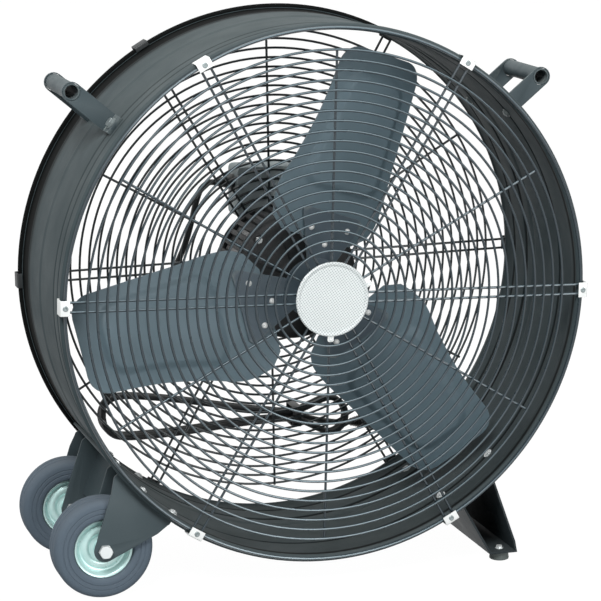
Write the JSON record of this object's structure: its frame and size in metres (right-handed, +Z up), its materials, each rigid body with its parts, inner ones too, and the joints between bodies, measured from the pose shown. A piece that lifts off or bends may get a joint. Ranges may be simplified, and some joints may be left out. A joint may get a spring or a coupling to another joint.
{
  "type": "drum fan",
  "caption": "Portable drum fan: steel drum with wire guards, paddle-bladed rotor on a motor, wheels and rubber feet, strap handles, rear switch box and tied mains lead.",
  "frame": {"origin": "middle of the part's own box, on the ground under the drum", "axes": "+Z up, the air outlet with the badge faces -Y, +X to the right seen from the front; the rotor turns about the Y direction"},
  "size_m": [0.6924, 0.3378, 0.7081],
  "materials": {
    "drum_paint": "satin grey-green paint",
    "wire_paint": "satin dark wire paint",
    "silver": "satin silver",
    "blade_paint": "satin blue-grey paint",
    "bright_steel": "bright zinc-plated steel",
    "laminations": "laminated steel",
    "black_paint": "satin black paint",
    "box_plastic": "matt grey-green plastic",
    "black_plastic": "matt black plastic",
    "black_rubber": "matt black rubber",
    "tyre_rubber": "matt grey rubber",
    "zinc": "pale zinc plate"
  },
  "bodies": {
    "fan_frame": {"drum_shell": "drum_paint", "right_handle_front_leg": "drum_paint", "right_handle_rear_leg": "drum_paint", "right_handle_grip": "drum_paint", "left_handle_front_leg": "drum_paint", "left_handle_rear_leg": "drum_paint", "left_handle_grip": "drum_paint", "wheel_bracket": "drum_paint", "foot_bracket": "drum_paint", "front_guard": "wire_paint", "rear_guard": "wire_paint", "rear_clip_1": "wire_paint", "rear_clip_2": "wire_paint", "rear_clip_3": "wire_paint", "rear_clip_4": "wire_paint", "rear_clip_5": "wire_paint", "rear_clip_6": "wire_paint", "front_clip_1": "silver", "front_clip_2": "silver", "front_clip_3": "silver", "front_clip_4": "silver", "front_clip_5": "silver", "front_clip_6": "silver", "badge": "silver", "front_bearing": "bright_steel", "rear_bearing": "bright_steel", "front_axle_sleeve": "bright_steel", "front_axle_bolt": "bright_steel", "front_axle_nut": "bright_steel", "rear_axle_sleeve": "bright_steel", "rear_axle_bolt": "bright_steel", "rear_axle_nut": "bright_steel", "stator": "laminations", "motor_shell": "black_paint", "motor_front_shield": "black_paint", "motor_rear_shield": "black_paint", "motor_mount": "black_paint", "switch_box": "box_plastic", "switch_box_lid": "box_plastic", "rotary_switch": "black_plastic", "capacitor": "black_plastic", "cord_gland": "black_plastic", "cord_tie": "black_plastic", "plug": "black_plastic", "cord_lead": "black_rubber", "cord_hank": "black_rubber", "front_rubber_foot": "black_rubber", "rear_rubber_foot": "black_rubber"},
    "rotor": {"spider": "drum_paint", "blade_1": "blade_paint", "blade_2": "blade_paint", "blade_3": "blade_paint", "shaft": "bright_steel", "rotor_core": "laminations"},
    "front_wheel": {"front_tyre": "tyre_rubber", "front_wheel_rim": "zinc"},
    "rear_wheel": {"rear_tyre": "tyre_rubber", "rear_wheel_rim": "zinc"},
    "knob": {"speed_knob": "black_plastic"}
  },
  "joints": [
    {"name": "rotor_spin", "type": "hinge", "parent": "fan_frame", "child": "rotor", "pos_m": [0.00235, 0, 0.36652], "axis": [0, 1, 0], "continuous": true},
    {"name": "front_wheel_spin", "type": "hinge", "parent": "fan_frame", "child": "front_wheel", "pos_m": [-0.28365, -0.1248, 0.0625], "axis": [0, 1, 0], "continuous": true},
    {"name": "rear_wheel_spin", "type": "hinge", "parent": "fan_frame", "child": "rear_wheel", "pos_m": [-0.28365, 0.0672, 0.0625], "axis": [0, 1, 0], "continuous": true},
    {"name": "knob_turn", "type": "hinge", "parent": "fan_frame", "child": "knob", "pos_m": [0.01635, 0.16, 0.45252], "axis": [0, 1, 0], "range_deg": [0, 120]}
  ]
}
